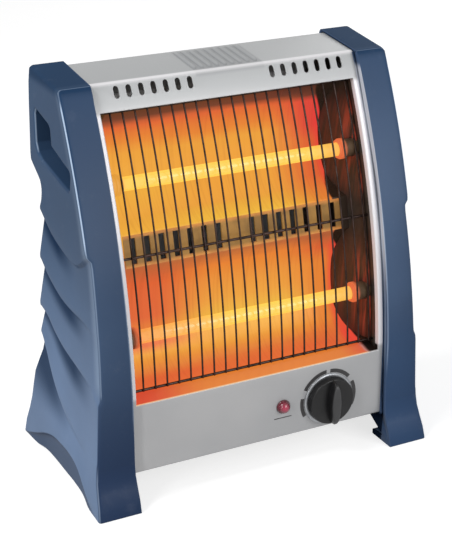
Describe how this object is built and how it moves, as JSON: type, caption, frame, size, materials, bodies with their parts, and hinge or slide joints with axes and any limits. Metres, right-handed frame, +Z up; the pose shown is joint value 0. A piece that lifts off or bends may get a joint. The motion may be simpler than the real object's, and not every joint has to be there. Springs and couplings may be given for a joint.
{
  "type": "halogen heater",
  "caption": "Free-standing radiant heater: a curved steel casing with a wire-guarded reflector window, set between two flared moulded side panels with hand holds.",
  "frame": {"origin": "middle of the footprint, on the surface the feet stand on", "axes": "+X to the heater's right seen from the front, +Y towards its back, +Z up"},
  "size_m": [0.3, 0.168, 0.33],
  "materials": {
    "blue_plastic": "satin slate-blue moulded plastic",
    "grey_paint": "light grey satin paint",
    "dark_steel": "heat-darkened steel",
    "bright_sheet": "bright rolled reflector sheet",
    "tinted_strip": "heat-tinted steel",
    "chromed_wire": "plated wire",
    "quartz": "glowing quartz glass",
    "element_wire": "hot resistance wire",
    "ceramic": "unglazed ceramic",
    "brass": "plain brass",
    "black_plastic": "fine-textured black plastic",
    "silver_ring": "satin silver",
    "red_lens": "clear red plastic",
    "rubber": "black rubber",
    "zinc": "zinc plate",
    "lead_sleeve": "woven glass sleeve"
  },
  "bodies": {
    "root": {"side_panel_right": "blue_plastic", "side_panel_left": "blue_plastic", "front_bezel": "grey_paint", "rear_cover": "grey_paint", "base_plate": "dark_steel", "end_plate_right": "dark_steel", "end_plate_left": "dark_steel", "reflector_cheek_right": "dark_steel", "reflector_cheek_left": "dark_steel", "reflector": "bright_sheet", "slotted_strip": "tinted_strip", "guard_grille": "chromed_wire", "quartz_tube_upper": "quartz", "heating_coil_upper": "element_wire", "ceramic_cap_upper_right": "ceramic", "ceramic_cap_upper_left": "ceramic", "terminal_pin_upper_right": "brass", "terminal_pin_upper_left": "brass", "quartz_tube_lower": "quartz", "heating_coil_lower": "element_wire", "ceramic_cap_lower_right": "ceramic", "ceramic_cap_lower_left": "ceramic", "terminal_pin_lower_right": "brass", "terminal_pin_lower_left": "brass", "rotary_switch": "black_plastic", "pilot_lamp": "black_plastic", "tip_switch": "black_plastic", "cord_gland": "black_plastic", "switch_nut": "zinc", "tip_spring": "zinc", "dial_ring": "silver_ring", "pilot_lens": "red_lens", "terminal_block": "ceramic", "lead_supply": "lead_sleeve", "lead_switched": "lead_sleeve", "lead_lower_bar": "lead_sleeve", "lead_upper_bar": "lead_sleeve", "lead_return": "lead_sleeve", "lead_link": "lead_sleeve", "panel_screw_front_right": "zinc", "panel_screw_front_left": "zinc", "panel_screw_rear_right": "zinc", "panel_screw_rear_left": "zinc", "panel_screw_middle_right": "zinc", "panel_screw_middle_left": "zinc", "panel_screw_top_right": "zinc", "panel_screw_top_left": "zinc", "cover_screw_low_right": "zinc", "cover_screw_low_left": "zinc", "cover_screw_high_right": "zinc", "cover_screw_high_left": "zinc", "foot_pad_front_right": "rubber", "foot_pad_front_left": "rubber", "foot_pad_rear_right": "rubber", "foot_pad_rear_left": "rubber"},
    "knob": {"selector_knob": "black_plastic", "switch_shaft": "zinc"},
    "plunger": {"tip_plunger": "zinc"}
  },
  "joints": [
    {"name": "selector_turn", "type": "hinge", "parent": "root", "child": "knob", "pos_m": [0.062, -0.067, 0.0516], "axis": [0, -1, 0], "range_deg": [-62, 62]},
    {"name": "tip_plunger_slide", "type": "slide", "parent": "root", "child": "plunger", "axis": [0, 0, -1], "range_m": [0, 0.005], "stiffness_N_per_m": 60, "springref_m": 0.006, "deforming": ["tip_spring"]}
  ]
}
